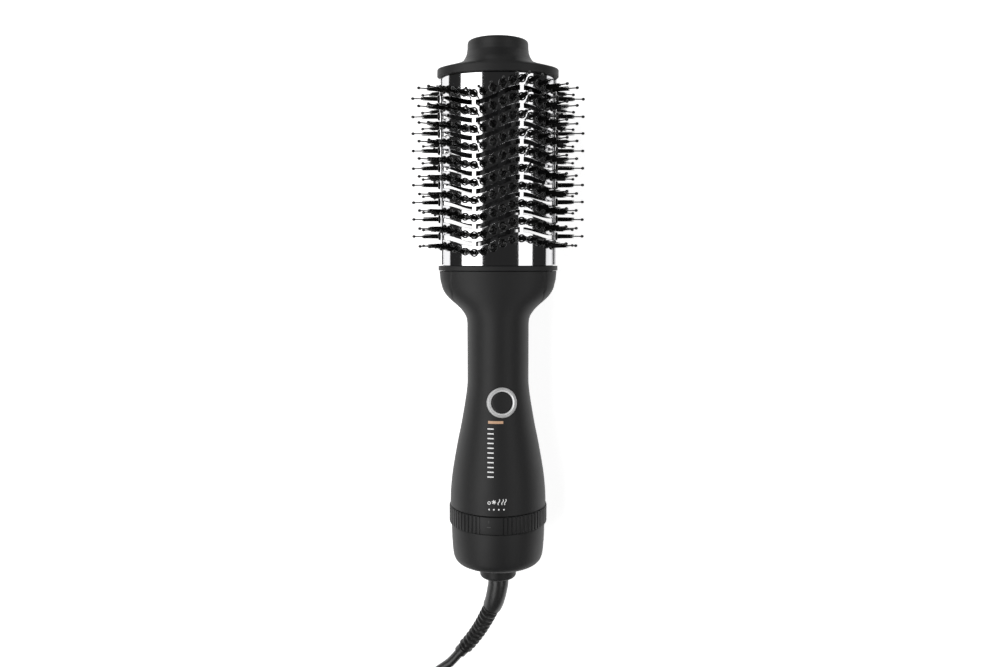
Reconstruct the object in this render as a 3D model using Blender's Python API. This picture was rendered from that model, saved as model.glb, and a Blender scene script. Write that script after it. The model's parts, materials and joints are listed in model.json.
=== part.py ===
"""Hot air brush, lying on its back on a table.

Sizes are in millimetres; the meshes are made in metres. Along the brush, a place is its station: the
distance from the joint between brush head and handle, positive towards the cord, negative towards the tip.
The brush's own frame has X to its right, Y towards the tip and Z out of the button side.
"""

import math

import bmesh
import bpy
import numpy as np
from mathutils import Matrix, Vector

MM = 0.001
GAP = 0.3

# Brush head
BARREL_HALF_WIDTH = 35.6
BARREL_ASPECT = 0.58
BARREL_WALL = 0.9
BARREL_START = -122.0
BARREL_END = -3.5
RIM_HALF_WIDTH = 38.6
ROW_COUNT = 10
ROW_FIRST = -16.2
ROW_PITCH = 10.86
BRISTLES_PER_ROW = 30
BRISTLE_LENGTH = 18.0
ROW_BAND_HEIGHT = 3.0
WAVE_HEIGHT = 3.4
WAVE_OVERTONE = 1.8
SLOT_HEIGHT = 2.8
SLOT_BANDS = 6
SLOT_STEPS = 4
BRIDGE_WIDTH = 2.6
STRIP_HEIGHT = 1.9
STRIP_HALF_WIDTH = 2.0
STRIP_BRISTLE_SHIFT = 6.2
TIP_TOP = -144.6
TIP_TOP_RADIUS = 18.3

# Handle
NECK_RADIUS = 20.0
COVER_WALL = 1.8
COVER_END = 153.8
RING_RADIUS = 32.3
RING_START = 154.1
RING_END = 165.6
CAP_END = 192.9
COLLAR_RADIUS = 12.1
COLLAR_END = 203.6

# Button and latch
BUTTON_STATION = 82.9
BUTTON_SIDE = 2.6
BUTTON_TILT = math.radians(8.6)
BUTTON_RADIUS = 6.6
BEZEL_RADIUS = 9.65
HANDLE_RADIUS_AT_BUTTON = 21.2
LATCH_STATION = 36.0
LATCH_HEIGHT = 15.6

# Mains lead
CORD_RADIUS = 3.25
COIL_CENTRE = (-45.0, 362.0)
COIL_OUTER_RADIUS = 53.0
COIL_INNER_RADIUS = 22.6
COIL_HEIGHT = 13.0
PLUG_LINE = 418.6
PLUG_AXIS_HEIGHT = 8.6

# How the brush lies: on its back bristles and on the control ring
LOWEST_ROW_SIDE = 3.0
LOWEST_ROW_STATION = ROW_FIRST + 1.44


def barrel_half_height(half_width):
    return half_width * BARREL_ASPECT


def barrel_arc():
    """Arc length round the barrel against the angle from the middle of its front."""
    angles = np.linspace(0.0, 2.0 * math.pi, 3601)
    x = BARREL_HALF_WIDTH * np.sin(angles)
    z = barrel_half_height(BARREL_HALF_WIDTH) * np.cos(angles)
    lengths = np.hypot(np.diff(x), np.diff(z))
    return angles, np.concatenate(([0.0], np.cumsum(lengths)))


ARC_ANGLES, ARC_LENGTHS = barrel_arc()
PERIMETER = float(ARC_LENGTHS[-1])


def on_barrel(along, offset):
    """The point at an arc length from the front's middle, lifted off the barrel by an offset: (x, z)."""
    angle = float(np.interp(along % PERIMETER, ARC_LENGTHS, ARC_ANGLES))
    half_height = barrel_half_height(BARREL_HALF_WIDTH)
    normal = Vector((math.sin(angle) / BARREL_HALF_WIDTH, math.cos(angle) / half_height)).normalized()
    x = BARREL_HALF_WIDTH * math.sin(angle) + offset * normal.x
    z = half_height * math.cos(angle) + offset * normal.y
    return x, z


def wave(along):
    """How far the bristle rows and the slots swing towards the tip; the back mirrors the front."""
    quarter = PERIMETER / 4.0
    from_front = (along + quarter) % PERIMETER - quarter
    if from_front > quarter:
        from_front = 2.0 * quarter - from_front
    turn = math.pi * from_front / quarter
    return WAVE_HEIGHT * math.sin(turn) + WAVE_OVERTONE * math.sin(2.0 * turn)


def lying_angle():
    """The tilt that sets both the lowest back bristle and the ring's lower edge on the table."""
    tip_drop = -on_barrel(PERIMETER / 2.0 - LOWEST_ROW_SIDE, BRISTLE_LENGTH)[1]
    return math.atan((tip_drop - RING_RADIUS) / (RING_END - LOWEST_ROW_STATION))


TILT = lying_angle()
LIFT = RING_END * math.sin(TILT) + RING_RADIUS * math.cos(TILT)
TIP_REACH = -TIP_TOP * math.cos(TILT) + TIP_TOP_RADIUS * math.sin(TILT)
END_REACH = COLLAR_END * math.cos(TILT) + COLLAR_RADIUS * math.sin(TILT)
SHIFT = (END_REACH - TIP_REACH) / 2.0

# The bell and the grip: (station, half width)
HANDLE_OUTLINE = [
    (0.0, 38.0), (3.3, 37.7), (5.9, 37.4), (8.5, 36.7), (11.1, 36.1), (13.7, 34.8), (16.3, 32.9),
    (18.9, 30.3), (24.1, 24.5), (29.3, 20.9), (34.6, 20.0), (71.5, 20.0), (76.8, 20.4), (82.2, 21.1),
    (90.2, 22.4), (100.9, 24.3), (111.6, 26.5), (122.5, 28.5), (133.2, 30.2), (144.1, 31.3),
    (COVER_END, 31.6),
]
# Height of the seam between front and rear cover: (station, height above the axis)
SEAM_OUTLINE = [(0.0, 14.0), (13.7, 12.0), (18.9, 8.0), (24.1, 5.0), (34.6, 0.0), (COVER_END, 0.0)]

# The lead's route on the table: (side, station, height above the table)
BOOT_ROUTE = [
    (0.0, 204.6, 30.9), (0.0, 210.0, 30.7), (-2.3, 221.5, 28.6), (-5.8, 231.0, 24.0), (-9.7, 240.4, 18.7),
    (-14.3, 249.9, 13.4), (-20.0, 259.1, 9.0), (-26.9, 267.8, 5.8),
]
CORD_ROUTE = [
    (-33.7, 276.2, 3.8), (-41.3, 281.8, 3.4), (-55.5, 292.4, 3.4), (-70.0, 302.9, 3.4), (-83.5, 315.0, 3.4),
    (-94.0, 329.5, 3.4), (-100.0, 345.5, 3.4),
]
PLUG_LEAD_ROUTE = [
    (-48.0, PLUG_LINE, 3.4), (-38.0, PLUG_LINE, 4.2), (-26.0, PLUG_LINE, 7.4), (-16.5, PLUG_LINE, 8.5),
    (-12.0, PLUG_LINE, PLUG_AXIS_HEIGHT),
]

# Colour, roughness and metallic value of each material
MATERIALS = {
    "soft_black": ((0.030, 0.030, 0.032), 0.55, 0.0),
    "barrel_metal": ((0.62, 0.62, 0.63), 0.12, 1.0),
    "bristle_black": ((0.012, 0.012, 0.012), 0.30, 0.0),
    "dark_trim": ((0.020, 0.020, 0.020), 0.35, 0.0),
    "bezel_silver": ((0.66, 0.66, 0.66), 0.28, 1.0),
    "rubber_black": ((0.018, 0.018, 0.018), 0.45, 0.0),
    "steel": ((0.55, 0.55, 0.56), 0.30, 1.0),
    "mica": ((0.55, 0.48, 0.36), 0.60, 0.0),
    "heater_wire": ((0.35, 0.33, 0.32), 0.35, 1.0),
    "inner_plastic": ((0.10, 0.10, 0.11), 0.50, 0.0),
    "brass": ((0.72, 0.55, 0.25), 0.30, 1.0),
    "board_green": ((0.03, 0.16, 0.08), 0.50, 0.0),
}


def clear_scene():
    for old in list(bpy.data.objects):
        bpy.data.objects.remove(old, do_unlink=True)


def material(name):
    found = bpy.data.materials.get(name)
    if found:
        return found
    color, roughness, metallic = MATERIALS[name]
    made = bpy.data.materials.new(name)
    made.use_nodes = True
    shader = made.node_tree.nodes["Principled BSDF"]
    shader.inputs["Base Color"].default_value = (*color, 1.0)
    shader.inputs["Roughness"].default_value = roughness
    shader.inputs["Metallic"].default_value = metallic
    return made


def empty(name, parent, place):
    guide = bpy.data.objects.new(name, None)
    bpy.context.collection.objects.link(guide)
    guide.parent = parent
    guide.matrix_local = place
    return guide


def add_piece(name, bm, look, parent):
    """Turn a bmesh in millimetres into an object."""
    bmesh.ops.recalc_face_normals(bm, faces=bm.faces)
    bmesh.ops.scale(bm, vec=(MM, MM, MM), verts=bm.verts)
    mesh = bpy.data.meshes.new(name)
    bm.to_mesh(mesh)
    bm.free()
    mesh.shade_smooth()
    mesh.set_sharp_from_angle(angle=math.radians(35.0))
    mesh.materials.append(material(look))
    piece = bpy.data.objects.new(name, mesh)
    bpy.context.collection.objects.link(piece)
    piece.parent = parent
    return piece


def join_loops(bm, loops, closed):
    """Skin neighbouring vertex loops; a loop of one vertex is a pole."""
    pairs = list(zip(loops, loops[1:]))
    if closed:
        pairs.append((loops[-1], loops[0]))
    for first, second in pairs:
        count = max(len(first), len(second))
        for i in range(count):
            corners = [first[i % len(first)], first[(i + 1) % len(first)],
                       second[(i + 1) % len(second)], second[i % len(second)]]
            bm.faces.new(list(dict.fromkeys(corners)))


def ring_piece(name, sections, look, parent, sides=24, lift=None):
    """A closed body from ovals (half width, half height, station); from a pole on, it is solid."""
    bm = bmesh.new()
    loops = []
    for half_width, half_height, station in sections:
        if half_width == 0.0:
            loops.append([bm.verts.new((0.0, -station, 0.0))])
            continue
        angles = [2.0 * math.pi * i / sides for i in range(sides)]
        loops.append([bm.verts.new((half_width * math.sin(a), -station, half_height * math.cos(a)))
                      for a in angles])
    join_loops(bm, loops, closed=len(loops[0]) > 1)
    if lift:
        bmesh.ops.translate(bm, vec=lift, verts=bm.verts)
    return add_piece(name, bm, look, parent)


def round_sections(profile):
    return [(radius, radius, station) for radius, station in profile]


def oval_sections(profile):
    return [(half_width, barrel_half_height(half_width), station) for half_width, station in profile]


def tube_profile(inner, outer, start, end):
    return [(inner, start), (outer, start), (outer, end), (inner, end)]


def rod_profile(radius, start, end):
    return [(0.0, start), (radius, start), (radius, end), (0.0, end)]


def tube(name, inner, outer, start, end, look, parent, sides=24):
    return ring_piece(name, round_sections(tube_profile(inner, outer, start, end)), look, parent, sides)


def rod(name, radius, start, end, look, parent, sides=16, lift=None):
    return ring_piece(name, round_sections(rod_profile(radius, start, end)), look, parent, sides, lift)


def box(name, low, high, look, parent):
    """A block between two corners (side, station, height)."""
    bm = bmesh.new()
    bmesh.ops.create_cube(bm, size=1.0)
    size = [high[i] - low[i] for i in range(3)]
    middle = [(high[i] + low[i]) / 2.0 for i in range(3)]
    bmesh.ops.scale(bm, vec=size, verts=bm.verts)
    bmesh.ops.translate(bm, vec=(middle[0], -middle[1], middle[2]), verts=bm.verts)
    return add_piece(name, bm, look, parent)


def prism(name, outline, depth, look, parent):
    """An outline of 3-D points, extruded by a vector."""
    bm = bmesh.new()
    near = [bm.verts.new(point) for point in outline]
    far = [bm.verts.new(Vector(point) + Vector(depth)) for point in outline]
    bm.faces.new(near)
    bm.faces.new(far)
    join_loops(bm, [near, far], closed=False)
    return add_piece(name, bm, look, parent)


def sweep(name, points, radii, look, parent, sides, origin=(0.0, 0.0, 0.0)):
    """A capped tube of changing radius along a list of points."""
    bm = bmesh.new()
    loops = []
    side = Vector((1.0, 0.0, 0.0))
    for i, point in enumerate(points):
        ahead = points[min(i + 1, len(points) - 1)] - points[max(i - 1, 0)]
        ahead.normalize()
        side = (side - ahead * side.dot(ahead)).normalized()
        up = ahead.cross(side)
        centre = point - Vector(origin)
        angles = [2.0 * math.pi * k / sides for k in range(sides)]
        rim = [centre + radii[i] * (side * math.cos(a) + up * math.sin(a)) for a in angles]
        loops.append([bm.verts.new(point) for point in rim])
    bm.faces.new(loops[0])
    bm.faces.new(loops[-1])
    join_loops(bm, loops, closed=False)
    piece = add_piece(name, bm, look, parent)
    piece.location = Vector(origin) * MM
    return piece


def pierced_sheet(name, rows, columns, place, is_open, look, parent):
    """A sheet closed round its columns, with openings, and with walls between its two skins."""
    bm = bmesh.new()
    skins = []
    for layer in (0, 1):
        skins.append([[bm.verts.new(place(i, j, layer)) for j in range(columns)] for i in range(rows)])

    def solid(i, j):
        return 0 <= i < rows - 1 and not is_open(i, j % columns)

    def wall(i0, j0, i1, j1):
        bm.faces.new([skins[0][i0][j0 % columns], skins[0][i1][j1 % columns],
                      skins[1][i1][j1 % columns], skins[1][i0][j0 % columns]])

    for i in range(rows - 1):
        for j in range(columns):
            if not solid(i, j):
                continue
            for skin in skins:
                bm.faces.new([skin[i][j], skin[i][(j + 1) % columns],
                              skin[i + 1][(j + 1) % columns], skin[i + 1][j]])
            if not solid(i - 1, j):
                wall(i, j, i, j + 1)
            if not solid(i + 1, j):
                wall(i + 1, j, i + 1, j + 1)
            if not solid(i, j - 1):
                wall(i, j, i + 1, j)
            if not solid(i, j + 1):
                wall(i, j + 1, i + 1, j + 1)
    return add_piece(name, bm, look, parent)


def combine(piece, tool, operation):
    """Cut the piece with a hidden tool, or join the tool to it."""
    tool.hide_render = True
    tool.display_type = "WIRE"
    step = piece.modifiers.new(tool.name, "BOOLEAN")
    step.operation = operation
    step.solver = "EXACT"
    step.object = tool


def smooth_path(points, steps):
    """Points on a Catmull-Rom curve through the given ones."""
    ends = [points[0] * 2.0 - points[1], *points, points[-1] * 2.0 - points[-2]]
    path = []
    for i in range(1, len(ends) - 2):
        before, here, there, after = ends[i - 1], ends[i], ends[i + 1], ends[i + 2]
        for step in range(steps):
            t = step / steps
            path.append(0.5 * (2.0 * here + (there - before) * t
                               + (2.0 * before - 5.0 * here + 4.0 * there - after) * t * t
                               + (3.0 * here - before - 3.0 * there + after) * t ** 3))
    path.append(points[-1].copy())
    return path


def on_table(side, station, height):
    """A place given on the table, in millimetres, world axes."""
    return Vector((side, SHIFT - station, height))


# ---- Brush head ----------------------------------------------------------------------------------

def make_barrel(brush):
    """The slotted oval tube: rows of wavy slots half-way between the bristle rows."""
    slots = [ROW_FIRST - ROW_PITCH * (k + 0.5) for k in range(ROW_COUNT - 1)]
    lines = [(BARREL_END, 0.0)]
    for slot in slots:
        lines += [(slot + SLOT_HEIGHT / 2.0, 1.0), (slot - SLOT_HEIGHT / 2.0, 1.0)]
    lines.append((BARREL_START, 0.0))
    band = PERIMETER / SLOT_BANDS
    slot_step = (band - BRIDGE_WIDTH) / SLOT_STEPS
    stops = []
    for k in range(SLOT_BANDS):
        bridge_end = band * (k + 0.5) + BRIDGE_WIDTH / 2.0
        stops += [bridge_end + slot_step * i for i in range(SLOT_STEPS + 1)]

    def place(i, j, layer):
        station, sway = lines[i]
        x, z = on_barrel(stops[j], -BARREL_WALL * layer)
        return x, -station + sway * wave(stops[j]), z

    def is_open(i, j):
        return i % 2 == 1 and j % (SLOT_STEPS + 1) < SLOT_STEPS

    pierced_sheet("barrel_shell", len(lines), len(stops), place, is_open, "barrel_metal", brush)


def make_bristle_row(index, brush):
    """One wavy row: a thin root band just off the barrel, with a tapered bristle on each of its steps.

    The bristles on the side strips stand half-way to the next row; the last row has none there.
    """
    step = PERIMETER / BRISTLES_PER_ROW
    station = ROW_FIRST - ROW_PITCH * index
    band_inner = 0.5
    band_outer = 1.0
    over_strip = 2.5
    bm = bmesh.new()
    loops = []
    for j in range(BRISTLES_PER_ROW):
        along = step * j
        to_side = min(abs(along - PERIMETER / 4.0), abs(along - 3.0 * PERIMETER / 4.0))
        extra = over_strip if to_side < step else 0.0
        low = -station + wave(along) - ROW_BAND_HEIGHT / 2.0
        high = low + ROW_BAND_HEIGHT
        x_in, z_in = on_barrel(along, band_inner + extra)
        x_out, z_out = on_barrel(along, band_outer + extra)
        loops.append([bm.verts.new(p) for p in
                      ((x_in, low, z_in), (x_in, high, z_in), (x_out, high, z_out), (x_out, low, z_out))])
    for j in range(BRISTLES_PER_ROW):
        here = loops[j]
        there = loops[(j + 1) % BRISTLES_PER_ROW]
        for a, b in ((0, 1), (1, 2), (3, 0)):
            bm.faces.new([here[a], here[b], there[b], there[a]])
        along = step * (j + 0.5)
        on_strip = j in (BRISTLES_PER_ROW // 4, BRISTLES_PER_ROW - 1 - BRISTLES_PER_ROW // 4)
        on_last_row = index == ROW_COUNT - 1
        x, z = on_barrel(along, over_strip + 1.5 if on_strip and on_last_row else BRISTLE_LENGTH)
        shift = STRIP_BRISTLE_SHIFT if on_strip and not on_last_row else 0.0
        tip = bm.verts.new((x, -station + wave(along) + shift, z))
        base = [here[2], here[3], there[3], there[2]]
        for k in range(4):
            bm.faces.new([base[k], base[(k + 1) % 4], tip])
    add_piece(f"bristle_row_{index + 1:02d}", bm, "bristle_black", brush)


def make_head(brush):
    make_barrel(brush)
    for index in range(ROW_COUNT):
        make_bristle_row(index, brush)
    for name, sign in (("side_strip_left", -1.0), ("side_strip_right", 1.0)):
        inner = sign * (BARREL_HALF_WIDTH + GAP)
        outer = sign * (BARREL_HALF_WIDTH + STRIP_HEIGHT)
        low = (min(inner, outer), BARREL_START + 3.0, -STRIP_HALF_WIDTH)
        high = (max(inner, outer), BARREL_END - 6.0, STRIP_HALF_WIDTH)
        box(name, low, high, "dark_trim", brush)
    tube("air_guide_tube", 10.5, 11.5, -116.0, -6.0, "steel", brush, sides=16)
    rim = oval_sections([(RIM_HALF_WIDTH, -3.2), (RIM_HALF_WIDTH, -GAP), (33.8, -GAP), (33.8, 8.5),
                         (32.0, 8.5), (32.0, -3.2)])
    ring_piece("head_base_ring", rim, "soft_black", brush, sides=32)
    tip = [(0.0, 0.0, TIP_TOP), (TIP_TOP_RADIUS, TIP_TOP_RADIUS, TIP_TOP), (19.3, 19.3, -143.6),
           (19.6, 19.6, -137.9), (20.6, 20.6, -134.8), (21.8, 21.8, -132.3), (27.5, 22.0, -129.5),
           (34.0, 22.2, -128.3), (RIM_HALF_WIDTH, 22.4, -127.3), (RIM_HALF_WIDTH, 22.4, -122.3),
           (33.6, 19.5, -122.3), (33.0, 18.8, -125.5), (17.0, 17.0, -131.0), (17.0, 17.0, -142.6),
           (0.0, 0.0, -142.6)]
    ring_piece("cool_tip_cap", tip, "soft_black", brush, sides=28)


# ---- Handle covers -------------------------------------------------------------------------------

def half_height(half_width):
    """The bell is flatter than it is wide; the neck and the grip are round."""
    bell_half_width = HANDLE_OUTLINE[0][1]
    bell_half_height = 22.0
    if half_width <= NECK_RADIUS:
        return half_width
    part = (half_width - NECK_RADIUS) / (bell_half_width - NECK_RADIUS)
    return NECK_RADIUS + (bell_half_height - NECK_RADIUS) * part


def cover(name, front, brush):
    """One half of the handle's shell: outer arc, seam land, inner arc, at each station."""
    arc_points = 13
    bell_end = 34.0
    stations = [s for s, _ in HANDLE_OUTLINE]
    seams = np.interp(stations, [s for s, _ in SEAM_OUTLINE], [h for _, h in SEAM_OUTLINE])
    bm = bmesh.new()
    loops = []
    for (station, wide), seam in zip(HANDLE_OUTLINE, seams):
        tall = half_height(wide) if station < bell_end else wide
        land = seam + (GAP / 2.0 if front else -GAP / 2.0)
        loop = []
        for a, b in ((wide, tall), (wide - COVER_WALL, tall - COVER_WALL)):
            start = math.asin(land / b)
            end = math.pi - start
            if not front:
                start += 2.0 * math.pi
            arc = [start + (end - start) * i / (arc_points - 1) for i in range(arc_points)]
            loop.append([(a * math.cos(t), -station, b * math.sin(t)) for t in arc])
        outline = loop[0] + loop[1][::-1]
        loops.append([bm.verts.new(point) for point in outline])
    bm.faces.new(loops[0])
    bm.faces.new(loops[-1])
    join_loops(bm, loops, closed=False)
    return add_piece(name, bm, "soft_black", brush)


def make_covers(brush, button_frame):
    """The two covers, the button's hole, and the bosses that the cover screw joins."""
    screw_station = 145.5
    front = cover("front_cover", True, brush)
    rear = cover("rear_cover", False, brush)
    upright = Matrix.Translation((0.0, -screw_station * MM, 0.0)) @ Matrix.Rotation(math.pi / 2.0, 4, "X")
    screw_line = empty("screw_line", brush, upright)
    hole = rod("button_hole", 8.3, -10.0, 10.0, "steel", button_frame, sides=24)
    hole.rotation_euler.x = math.pi / 2.0
    combine(front, hole, "DIFFERENCE")
    combine(front, rod("front_boss", 3.2, -30.5, 22.6, "steel", screw_line, sides=12), "UNION")
    combine(front, rod("front_boss_bore", 1.6, 5.0, 23.0, "steel", screw_line, sides=11), "DIFFERENCE")
    combine(rear, rod("rear_boss", 4.6, 23.0, 30.5, "steel", screw_line, sides=15), "UNION")
    step = round_sections([(0.0, 20.0), (1.7, 20.0), (1.7, 28.0), (3.5, 28.0), (3.5, 35.0), (0.0, 35.0)])
    combine(rear, ring_piece("rear_screw_hole", step, "steel", screw_line, sides=13), "DIFFERENCE")
    screw = round_sections([(0.0, 6.0), (1.3, 6.0), (1.3, 28.3), (3.1, 28.3), (3.1, 30.6), (0.0, 30.6)])
    ring_piece("cover_screw", screw, "steel", screw_line, sides=12)


# ---- Button and latch ----------------------------------------------------------------------------

def saddle_piece(name, profile, look, button_frame, sides):
    """A turned piece about the button's axis, bent down at its sides as the handle's surface is."""
    bm = bmesh.new()
    loops = []
    for radius, height in profile:
        if radius == 0.0:
            loops.append([bm.verts.new((0.0, 0.0, height))])
            continue
        loop = []
        for i in range(sides):
            angle = 2.0 * math.pi * i / sides
            x = radius * math.cos(angle)
            drop = math.sqrt(HANDLE_RADIUS_AT_BUTTON ** 2 - x * x) - HANDLE_RADIUS_AT_BUTTON
            loop.append(bm.verts.new((x, radius * math.sin(angle), height + drop)))
        loops.append(loop)
    join_loops(bm, loops, closed=len(loops[0]) > 1)
    return add_piece(name, bm, look, button_frame)


def helix(radius, turns, steps_per_turn, start, rise):
    """Points of a helix about the Z axis."""
    count = int(turns * steps_per_turn)
    points = []
    for i in range(count + 1):
        angle = 2.0 * math.pi * i / steps_per_turn
        height = start + rise * i / count
        points.append(Vector((radius * math.cos(angle), radius * math.sin(angle), height)))
    return points


def make_button(button_frame):
    bezel = [(6.95, 0.9), (7.6, 1.4), (BEZEL_RADIUS - 0.3, 1.4), (BEZEL_RADIUS, 1.1), (BEZEL_RADIUS, 0.5),
             (8.0, 0.5), (8.0, -4.6), (6.95, -4.6)]
    saddle_piece("button_bezel", bezel, "bezel_silver", button_frame, sides=24)
    button = [(0.0, 0.75), (BUTTON_RADIUS - 0.6, 0.7), (BUTTON_RADIUS, 0.3), (BUTTON_RADIUS, -0.9),
              (2.4, -0.9), (2.4, -6.2), (0.0, -6.2)]
    saddle_piece("release_button", button, "soft_black", button_frame, sides=20)
    saddle_piece("spring_seat", [(3.0, -5.0), (7.9, -5.0), (7.9, -5.6), (3.0, -5.6)], "inner_plastic",
                 button_frame, sides=20)
    coil = helix(4.4, 3, 10, -4.6, 3.0)
    sweep("button_spring", coil, [0.15] * len(coil), "steel", button_frame, sides=4)


def make_latch(latch_frame):
    """The lever between the button and the head's spigot, in the frame of its pin."""
    pin_hole = 1.15
    width = 6.0
    left = -2.0
    outline = [(-26.0, -0.7), (-26.0, 0.9), (-1.8, 0.9), (-1.1, 1.6), (0.0, 1.8), (1.1, 1.6), (1.8, 0.9),
               (28.0, 0.9), (30.5, -1.6), (51.0, -1.6), (51.0, -3.2), (29.8, -3.2), (27.3, -0.7),
               (1.8, -0.7), (1.1, -1.5), (0.0, -1.8), (-1.1, -1.5), (-1.8, -0.7)]
    lever = prism("latch_lever", [(left, -station, height) for station, height in outline],
                  (width, 0.0, 0.0), "inner_plastic", latch_frame)
    bore = rod("latch_bore", pin_hole, -12.0, 12.0, "steel", latch_frame, sides=12)
    bore.rotation_euler.z = math.pi / 2.0
    combine(lever, bore, "DIFFERENCE")
    pin = rod("latch_pin", 0.8, -7.4, 7.4, "steel", latch_frame, sides=12)
    pin.rotation_euler.z = math.pi / 2.0


# ---- Heater and fan ------------------------------------------------------------------------------

def bladed_hub(name, bore, hub, tip, start, end, blades, twist, look, brush):
    """A hub ring whose every third outer face is drawn out into a blade."""
    sides = blades * 3
    piece = tube(name, bore, hub, start, end, look, brush, sides)
    bm = bmesh.new()
    bm.from_mesh(piece.data)
    outer = []
    for face in bm.faces:
        centre = face.calc_center_median() / MM
        if abs(face.normal.y) < 0.5 and math.hypot(centre.x, centre.z) > (bore + hub) / 2.0:
            outer.append((math.atan2(centre.x, centre.z), face))
    outer.sort(key=lambda item: item[0])
    for _, face in outer[::3]:
        outwards = face.normal.copy()
        sideways = Vector((outwards.z, 0.0, -outwards.x))
        drawn = bmesh.ops.extrude_discrete_faces(bm, faces=[face])["faces"][0]
        middle = drawn.calc_center_median()
        for vert in drawn.verts:
            lean = math.copysign(twist, vert.co.y - middle.y)
            vert.co += (outwards * (tip - hub) + sideways * lean) * MM
    bmesh.ops.recalc_face_normals(bm, faces=bm.faces)
    bm.to_mesh(piece.data)
    bm.free()


def make_heater(brush):
    tube("heater_sleeve", 12.4, 13.4, 18.0, 62.0, "mica", brush, sides=20)
    arm = 10.4
    half = 0.4
    cross = [(half, arm), (-half, arm), (-half, half), (-arm, half), (-arm, -half), (-half, -half),
             (-half, -arm), (half, -arm), (half, -half), (arm, -half), (arm, half), (half, half)]
    prism("heater_frame", [(x, -19.0, z) for x, z in cross], (0.0, -41.0, 0.0), "mica", brush)
    coil = [Vector((p.x, -p.z, p.y)) for p in helix(11.3, 5, 12, 22.0, 35.0)]
    sweep("heater_coil", coil, [0.4] * len(coil), "heater_wire", brush, sides=4)
    rod("thermostat", 5.0, 63.2, 67.0, "steel", brush)
    rod("thermal_fuse", 1.6, 63.2, 74.0, "inner_plastic", brush, sides=8, lift=(-9.0, 0.0, -6.0))


def make_fan(brush):
    tube("fan_shroud", 18.5, 19.5, 92.4, 112.0, "inner_plastic", brush, sides=28)
    bladed_hub("fan_impeller", 1.4, 6.0, 17.2, 94.0, 102.0, 7, 1.6, "inner_plastic", brush)
    rod("motor_shaft", 1.0, 93.0, 116.5, "steel", brush, sides=12)
    bladed_hub("motor_guide_vanes", 13.4, 14.2, 18.0, 106.0, 112.0, 9, 0.6, "inner_plastic", brush)
    can = round_sections([(0.0, 117.0), (1.5, 117.0), (1.5, 104.0), (12.5, 104.0), (13.0, 104.8),
                          (13.0, 139.5), (12.5, 140.0), (0.0, 140.0)])
    ring_piece("motor_can", can, "steel", brush, sides=24)
    rod("motor_terminal_plate", 11.0, 140.3, 141.6, "board_green", brush)


# ---- Control ring, end cap and swivel ------------------------------------------------------------

def make_controls(brush):
    sleeve = tube("ring_sleeve", 26.4, 28.0, 150.5, 172.0, "inner_plastic", brush, sides=32)
    slot = box("rotor_slot", (-2.5, 156.5, 20.0), (11.5, 161.5, 35.0), "steel", brush)
    combine(sleeve, slot, "DIFFERENCE")
    ring = round_sections([(28.4, RING_START), (31.8, RING_START), (RING_RADIUS, RING_START + 0.6),
                           (RING_RADIUS, RING_END - 0.6), (31.8, RING_END), (28.4, RING_END)])
    ring_piece("control_ring", ring, "soft_black", brush, sides=40)
    rotor = tube("switch_rotor", 22.5, 25.9, 157.0, 161.0, "inner_plastic", brush)
    tab = box("rotor_tab", (-1.5, 157.5, 24.0), (1.5, 160.5, 28.0), "steel", brush)
    combine(rotor, tab, "UNION")
    tube("switch_board", 8.0, 25.8, 150.5, 152.0, "board_green", brush)
    box("switch_contacts", (10.0, 152.3, -4.0), (20.0, 156.0, 4.0), "brass", brush)
    for name, height in (("live_wire", 3.0), ("neutral_wire", -3.0)):
        stops = [(-1.5, 179.5, height / 2.0), (-4.0, 172.0, height), (-9.0, 163.0, height),
                 (-12.0, 152.5, height)]
        points = smooth_path([Vector((x, -station, z)) for x, station, z in stops], 3)
        sweep(name, points, [0.7] * len(points), "rubber_black", brush, sides=6)


def make_grille(brush):
    """The air inlet: an annular disc with radial slots."""
    slots = 16
    radii = [12.5, 14.2, 18.0, 19.6]
    levels = (190.6, 192.1)

    def place(i, j, layer):
        angle = 2.0 * math.pi * j / (2 * slots)
        return radii[i] * math.sin(angle), -levels[layer], radii[i] * math.cos(angle)

    def is_open(i, j):
        return i == 1 and j % 2 == 0

    pierced_sheet("inlet_grille", len(radii), 2 * slots, place, is_open, "inner_plastic", brush)


def make_end(brush):
    start = RING_END + GAP
    cap = round_sections([(30.9, start), (30.5, 177.0), (29.9, 186.0), (29.2, 189.4), (27.6, 191.9),
                          (25.6, CAP_END), (20.0, CAP_END), (20.0, 191.1), (26.0, 190.6), (27.8, 187.5),
                          (28.6, 177.0), (28.8, start)])
    ring_piece("end_cap", cap, "soft_black", brush, sides=32)
    make_grille(brush)
    tube("inlet_filter", 13.0, 26.0, 180.0, 181.5, "steel", brush)
    collar = round_sections([(7.8, 186.0), (COLLAR_RADIUS, 186.0), (COLLAR_RADIUS, COLLAR_END - 0.8),
                             (COLLAR_RADIUS - 0.8, COLLAR_END), (6.0, COLLAR_END), (6.0, 201.4),
                             (7.8, 199.0)])
    ring_piece("swivel_collar", collar, "soft_black", brush, sides=24)
    ball = [(0.0, 186.4)]
    ball_radius = 7.1
    ball_station = 193.5
    for degrees in (30.0, 60.0, 90.0, 120.0):
        angle = math.radians(degrees)
        ball.append((ball_radius * math.sin(angle), ball_station - ball_radius * math.cos(angle)))
    ball += [(5.2, 199.0), (5.2, 203.9), (0.0, 203.9)]
    ring_piece("swivel_ball", round_sections(ball), "dark_trim", brush, sides=20)
    rod("swivel_contact", 3.0, 180.2, 185.8, "brass", brush, sides=12)


# ---- Mains lead ----------------------------------------------------------------------------------

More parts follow.
